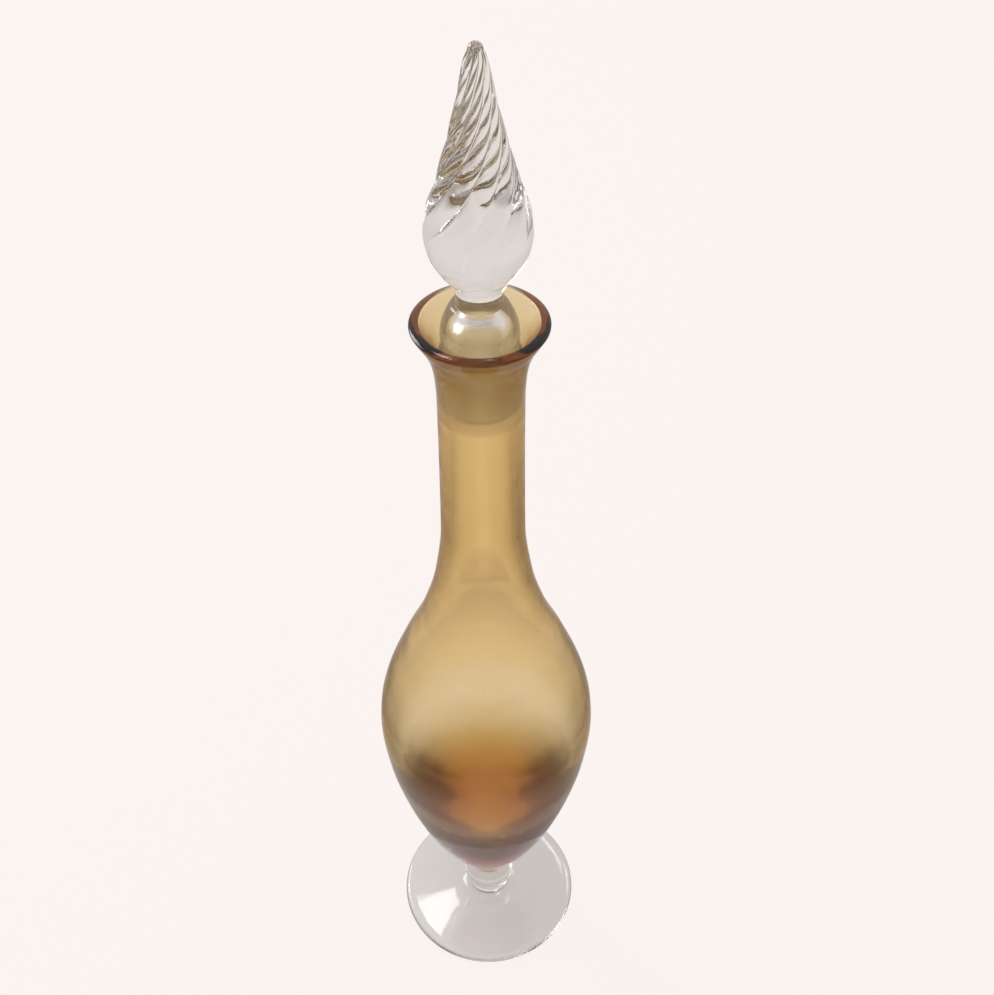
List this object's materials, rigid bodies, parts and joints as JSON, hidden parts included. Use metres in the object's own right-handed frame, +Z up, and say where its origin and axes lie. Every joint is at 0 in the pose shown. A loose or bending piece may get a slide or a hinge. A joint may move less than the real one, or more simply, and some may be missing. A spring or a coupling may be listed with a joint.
{
  "type": "stoppered glass carafe",
  "caption": "Tall blown glass carafe: pointed amber bowl and long neck on a clear knop, stem and disc foot, with a clear twisted flame stopper that lifts out.",
  "frame": {"origin": "centre of the foot's underside, on the surface that the carafe stands on", "axes": "+Z up along the carafe's turning axis and the stopper's lift; the carafe is round, so X and Y are free"},
  "size_m": [0.086, 0.086, 0.426],
  "materials": {
    "amber_glass": "transparent amber blown glass, smooth and glossy, darker where it is thick",
    "clear_glass": "clear blown glass, smooth and glossy",
    "stopper_glass": "clear solid glass with twisted ribs and a few small bubbles",
    "ground_glass": "clear glass, hollow and open at its lower end, ground matt on its side"
  },
  "bodies": {
    "bottle": {"bottle_body": "amber_glass", "base_knop": "clear_glass", "base_stem": "clear_glass", "base_foot": "clear_glass"},
    "stopper": {"stopper_finial": "stopper_glass", "stopper_plug": "ground_glass"}
  },
  "joints": [
    {"name": "stopper_lift", "type": "slide", "parent": "bottle", "child": "stopper", "axis": [0, 0, 1], "range_m": [0, 0.05]}
  ]
}
